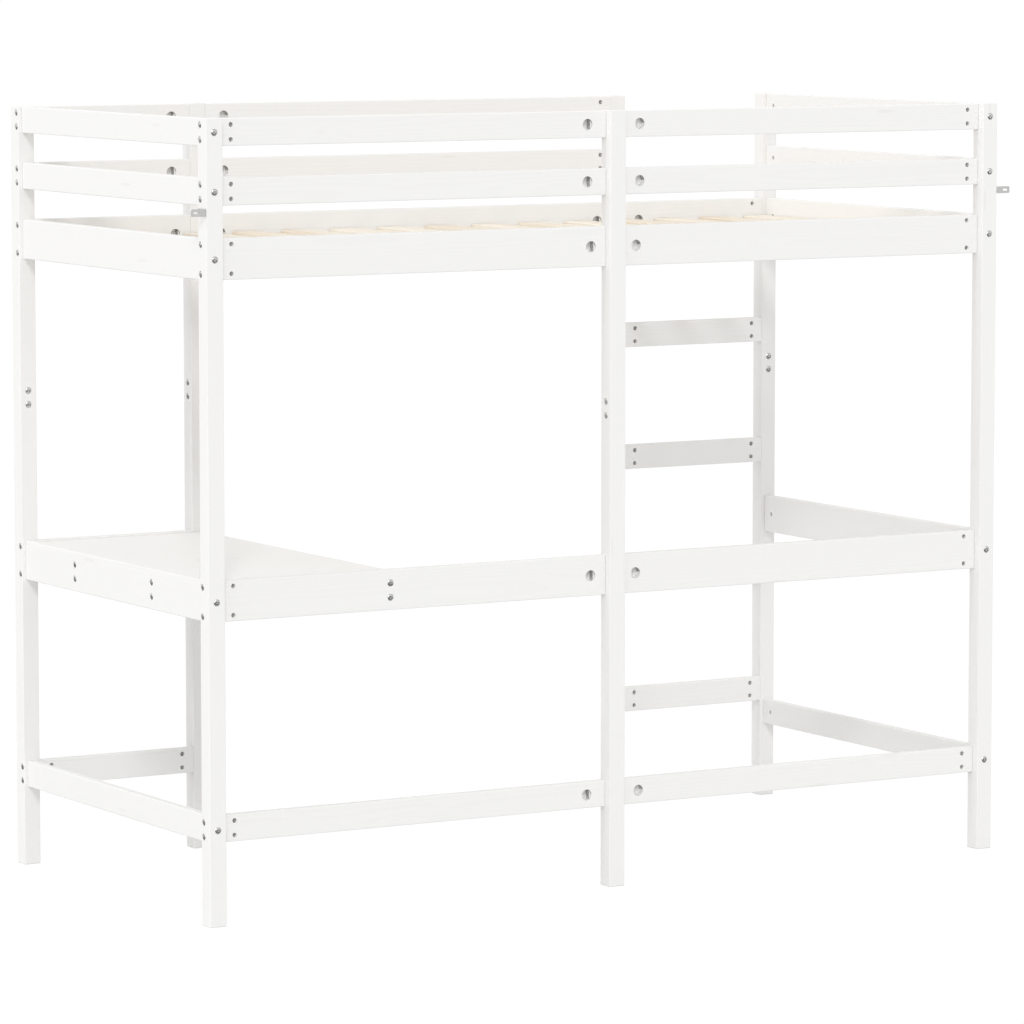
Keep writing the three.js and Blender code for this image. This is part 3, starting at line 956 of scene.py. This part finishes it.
# %% Cleats with their screws
CLEATS = ["front_left", "front_right", "back_left", "back_centre", "back_right"]
SCREW_SPACING = 0.28
CLEAT_ROUNDING = 0.0012
cleat_screws = []
for place in CLEATS:
    node = f"slat_cleat_{place}"
    low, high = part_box(node)
    inside = Vector((0, 1 if "front" in place else -1, 0))
    face = high.y if "front" in place else low.y
    count = max(2, round((high.x - low.x) / SCREW_SPACING))
    sink = turned([(0, CLEAR), (0.0042 + CLEAR, CLEAR), (0.0042, -0.0001), (0.0016, -0.0028),
                   (0.0016, -0.014), (0, -0.014)])
    for i in range(count):
        x = low.x + (i + 0.5) / count * (high.x - low.x)
        at = Vector((x, face, (low.z + high.z) / 2))
        bore(node, sink, stand(at, inside))
        turn = (math.cos(i * 2.1), 0, math.sin(i * 2.1))
        cleat_screws.append((SCREW, stand(at - inside * HEAD_DOWN, inside, turn)))
    make_wood(node, NATURAL, CLEAT_ROUNDING)
screws = as_object("cleat_screws", gather(cleat_screws))
finish_piece(screws, ZINC)
print(len(CLEATS), "cleats with", len(cleat_screws), "screws")

# %% Slats
SLAT_COUNT = 16
SLAT_WIDTH = 0.066
SLAT_THICKNESS = 0.016
SLAT_ROUNDING = 0.0028
SLAT_EASE = 0.001
roll_low, roll_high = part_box("slat_roll")
slat_pitch = (roll_high.x - roll_low.x - SLAT_WIDTH) / (SLAT_COUNT - 1)
slat_bottom = roll_high.z - SLAT_THICKNESS
for i in range(SLAT_COUNT):
    left = roll_low.x + i * slat_pitch
    low = Vector((left, roll_low.y, slat_bottom))
    high = Vector((left + SLAT_WIDTH, roll_high.y, roll_high.z))
    bm, along = wood_bar(low, high, SLAT_ROUNDING, (SLAT_EASE, SLAT_EASE))
    slat = as_object(f"slat_{i + 1:02d}", bm)
    finish_piece(slat, NATURAL)
    carry_grain(slat, along, f"slat {i}")
    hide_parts("slat_roll")
print(SLAT_COUNT, "slats every", round(slat_pitch * 1000, 1), "mm")

# %% [markdown]
# The tape under the slats is stapled to each of them and hangs by a hair in between. It is a long grid whose
# points are lowered between slats by a cosine, and then thickened. Rounded wire staples cross it.

# %% Tapes and staples
TAPE_Y = 0.419
TAPE_WIDTH = 0.020
TAPE_THICKNESS = 0.0009
TAPE_SAG = 0.0035
TAPE_STEPS = 360
STAPLE_SIZE = (0.011, 0.0012, 0.0007)
STAPLE_FROM_MIDDLE = 0.012


def tape(y):
    length = (SLAT_COUNT - 1) * slat_pitch + 0.04
    bm = bmesh.new()
    bmesh.ops.create_grid(bm, x_segments=TAPE_STEPS, y_segments=2, size=0.5)
    bmesh.ops.scale(bm, vec=(length, TAPE_WIDTH, 1), verts=bm.verts)
    for point in bm.verts:
        place = (point.co.x / slat_pitch - 0.5) % 1
        free = abs(place - 0.5) < 0.5 - SLAT_WIDTH / slat_pitch / 2
        swing = math.cos((place - 0.5) / (1 - SLAT_WIDTH / slat_pitch) * math.pi)
        point.co.z = slat_bottom - 0.0002 - (TAPE_SAG * swing * swing if free else 0)
    bmesh.ops.translate(bm, vec=(0, y, 0), verts=bm.verts)
    bmesh.ops.solidify(bm, geom=bm.faces[:], thickness=TAPE_THICKNESS)
    bmesh.ops.recalc_face_normals(bm, faces=bm.faces)
    return bm


def staple():
    """A staple's crown under a tape: wire with rounded edges, along X."""
    bm = bmesh.new()
    bmesh.ops.create_cube(bm, size=1)
    bmesh.ops.scale(bm, vec=STAPLE_SIZE, verts=bm.verts)
    bmesh.ops.bevel(bm, geom=bm.edges[:], offset=0.0003, offset_type="OFFSET", segments=2, profile=0.5,
                    affect="EDGES", material=-1)
    return as_mesh("staple", bm)


STAPLE = staple()
chance = random.Random(7)
staples = []
for side, name in ((-1, "front"), (1, "back")):
    strap = as_object(f"slat_tape_{name}", tape(side * TAPE_Y))
    finish_piece(strap, TAPE)
    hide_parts("slat_roll")
    for i in range(SLAT_COUNT):
        for row in (-1, 1):
            x = roll_low.x + SLAT_WIDTH / 2 + i * slat_pitch + row * STAPLE_FROM_MIDDLE
            lean = chance.uniform(-0.12, 0.12)
            at = (x, side * TAPE_Y + chance.uniform(-0.0012, 0.0012), slat_bottom - 0.0013)
            staples.append((STAPLE, stand(at, (0, 0, -1), (lean, 1, 0))))
staple_piece = as_object("slat_staples", gather(staples))
finish_piece(staple_piece, ZINC)
print("2 tapes with", len(staples), "staples")

# %% [markdown]
# ## Wall angles
#
# A steel angle on each front corner ties the bed to the wall, which keeps it from tipping when somebody
# climbs. It is bent from strip: a line with three points is extruded to the strip's width, its bend and its
# outer corners are rounded, and only then does it get its thickness. A slot and a screw hole are cut last.


# %% Bent wall angles
ANGLE_STEEL = 0.002
ANGLE_BEND = 0.003
SLOT_LENGTH = 0.014
SLOT_WIDTH = 0.005
SLOT_FROM_TIP = 0.006
SCREW_HOLE = 0.005


def slot_cutter(at):
    """A slot along X with round ends, cut through a plate that faces Y."""
    bm = bmesh.new()
    bmesh.ops.create_cube(bm, size=1)
    bmesh.ops.scale(bm, vec=(SLOT_LENGTH, 0.01, SLOT_WIDTH), verts=bm.verts)
    through_edges = [e for e in bm.edges if abs(e.verts[0].co.y - e.verts[1].co.y) > 0.005]
    bmesh.ops.bevel(bm, geom=through_edges, offset=SLOT_WIDTH / 2 - 0.0001, offset_type="OFFSET", segments=8,
                    profile=0.5, affect="EDGES", material=-1)
    bmesh.ops.translate(bm, vec=at, verts=bm.verts)
    return bm


WALL_SCREW = screw(0.0046)
for column, out in (("left", -1), ("right", 1)):
    node = f"wall_angle_{column}"
    low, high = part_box(node)
    middle_z = (low.z + high.z) / 2
    root = low.x if out > 0 else high.x
    tip = high.x if out > 0 else low.x
    half = ANGLE_STEEL / 2
    bm = bmesh.new()
    leg_x, leg_y = root + out * half, low.y + half
    line = [bm.verts.new((x, y, low.z)) for x, y in ((leg_x, high.y), (leg_x, leg_y), (tip, leg_y))]
    edges = [bm.edges.new(pair) for pair in zip(line, line[1:])]
    raised = bmesh.ops.extrude_edge_only(bm, edges=edges)["geom"]
    top = [part for part in raised if isinstance(part, bmesh.types.BMVert)]
    bmesh.ops.translate(bm, vec=(0, 0, high.z - low.z), verts=top)
    bend = [e for e in bm.edges if len(e.link_faces) == 2]
    bmesh.ops.bevel(bm, geom=bend, offset=ANGLE_BEND, offset_type="OFFSET", segments=6, profile=0.5,
                    affect="EDGES", material=-1)
    tips = [v for v in bm.verts if abs(v.co.x - tip) < 1e-5 or abs(v.co.y - high.y) < 1e-5]
    bmesh.ops.bevel(bm, geom=tips, offset=0.0035, offset_type="OFFSET", segments=5, profile=0.5,
                    affect="VERTICES", material=-1)
    bmesh.ops.recalc_face_normals(bm, faces=bm.faces)
    bmesh.ops.solidify(bm, geom=bm.faces[:], thickness=ANGLE_STEEL)
    bmesh.ops.recalc_face_normals(bm, faces=bm.faces)
    bounds_y = min(v.co.y for v in bm.verts)
    bounds_x = min((v.co.x for v in bm.verts), key=lambda x: out * x)
    bmesh.ops.translate(bm, vec=(root - bounds_x, low.y - bounds_y, 0), verts=bm.verts)
    plate = as_object(f"{node}_bent", bm)
    cut(plate, slot_cutter(Vector((tip - out * (SLOT_FROM_TIP + SLOT_LENGTH / 2), low.y + half, middle_z))))
    rail_y = sum(c.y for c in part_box("guard_second_front_left")) / 2
    face = Vector((root + out * ANGLE_STEEL, rail_y, middle_z))
    outward = Vector((out, 0, 0))
    hole = turned([(0, CLEAR), (0.0048 + CLEAR, CLEAR), (0.0048, -0.0001), (SCREW_HOLE / 2, -0.0016),
                   (SCREW_HOLE / 2, -0.004), (0, -0.004)])
    cut(plate, gather([(hole, stand(face, outward))]))
    finish_piece(plate, ANGLE_ZINC)
    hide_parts(node)
    at = face - outward * 0.0001
    holder = as_object(f"{node}_screw", gather([(WALL_SCREW, stand(at, outward, (0, 1, 1)))]))
    finish_piece(holder, ZINC)
    print(node, len(plate.data.polygons), "faces")

# %% [markdown]
# ## Putting the fasteners in
#
# Every bolt and nut as a separate object would be slow to handle, and nobody moves them one by one. So the
# bolts are joined into one piece for each post and one for the desk. The barrel nuts and rods are another
# piece, and the half-moon nuts a last one, whose flats get the darker metal as painted shade.

# %% Fasteners
PAINTED_SHADE_NORMAL_X = 0.9
for post, placed in fittings.items():
    piece = as_object(f"fasteners_{post}", gather(placed))
    finish_piece(piece, ZINC)
    print(piece.name, len(placed), "parts,", len(piece.data.polygons), "faces")
barrels = as_object("barrel_nuts_and_rods", gather(nuts))
finish_piece(barrels, DULL_ZINC_AND_PAINTED_SHADE)
moons = as_object("half_moon_nuts", gather(half_moons))
finish_piece(moons, BRIGHT_ZINC)
# The flats of the half-moon nuts get the darker metal: painted shade.
moons.data.materials.append(DULL_ZINC_AND_PAINTED_SHADE)
for face in moons.data.polygons:
    face.material_index = 1 if abs(face.normal.x) > PAINTED_SHADE_NORMAL_X else 0
print(len(nuts), "barrel nuts and rods,", len(half_moons), "half-moon nuts")

# %% [markdown]
# ## Light and floor
#
# White furniture on white asks for even light. A bright sky gives most of it. One soft lamp from the front
# left and above draws the shadows of the slats on the rungs. A second lamp shines straight along the bed, so
# faces that look left are a touch lighter than faces that look forward, and each board shades the strip of
# post in its own plane. Sky and floor show as plain white, but they throw only as much light as a pale
# studio does, or the lacquer would burn out. The standard view transform keeps white white.

# %% Sky and lamps
SKY_STRENGTH = 0.87
SHOWN_WHITE = 1.02

scene.view_settings.view_transform = "Standard"
world = bpy.data.worlds.new("studio")
world.use_nodes = True
backdrop = world.node_tree.nodes["Background"]
backdrop.inputs["Color"].default_value = (1, 1, 1, 1)
sky = Nodes(world.node_tree)
sky_strength = sky.node("LightPath", {}, out="Is Camera Ray") * (SHOWN_WHITE - SKY_STRENGTH) + SKY_STRENGTH
world.node_tree.links.new(sky_strength.socket, backdrop.inputs["Strength"])
scene.world = world


def lamp(name, strength, spread, shines):
    """A lamp as far away as the sun. `spread` is how wide it looks, in degrees."""
    data = bpy.data.lights.new(name, "SUN")
    data.energy = strength
    data.angle = math.radians(spread)
    lamp_object = bpy.data.objects.new(name, data)
    lamp_object.rotation_euler = Vector(shines).to_track_quat("-Z", "Y").to_euler()
    scene.collection.objects.link(lamp_object)


lamp("key", 0.80, 12, (0.41, 0.70, -0.59))
lamp("side", 0.60, 8, (0.83, 0.00, -0.56))

# %% Floor
FLOOR_HALF = 60
FLOOR_GREY = 0.80


def sheet_of_floor(name, z):
    bm = bmesh.new()
    bmesh.ops.create_grid(bm, x_segments=1, y_segments=1, size=FLOOR_HALF)
    bmesh.ops.translate(bm, vec=(0, 0, z), verts=bm.verts)
    return as_object(name, bm)


floor = sheet_of_floor("floor", 0)
paint = Finish("floor", Roughness=0.9, Specular_IOR_Level=0.1)
paint.shader.inputs["Base Color"].default_value = (FLOOR_GREY, FLOOR_GREY, FLOOR_GREY, 1)
seen = paint.node("LightPath", {}, out="Is Camera Ray")
white = paint.node("Emission", {}, {"Color": (1, 1, 1, 1), "Strength": SHOWN_WHITE})
shown = paint.node("MixShader", {}, {0: seen, 1: Wire(paint, paint.shader.outputs[0]), 2: white})
paint.tree.links.new(shown.socket, paint.tree.nodes["Material Output"].inputs["Surface"])
floor.data.materials.append(paint.material)
print("a floor of", 2 * FLOOR_HALF, "m")

# %% [markdown]
# Polished metal in an all-white room looks like paper. A studio lays dark cloth where only the metal can
# mirror it. This grey sheet does the same: only glossy rays meet it, so it dims no wood and hides nothing.

# %% Dark cloth for the metal
CLOTH_GREY = 0.26
CLOTH_DOWN = 0.002
cloth = sheet_of_floor("dark_cloth", -CLOTH_DOWN)
cloth_paint = Finish("dark cloth", Roughness=1.0, Specular_IOR_Level=0.0)
cloth_paint.shader.inputs["Base Color"].default_value = (CLOTH_GREY, CLOTH_GREY, CLOTH_GREY, 1)
cloth.data.materials.append(cloth_paint.material)
for ray in ("camera", "diffuse", "transmission", "volume_scatter", "shadow"):
    setattr(cloth, "visible_" + ray, False)
floor.visible_glossy = False
print("the metal mirrors", cloth.name)
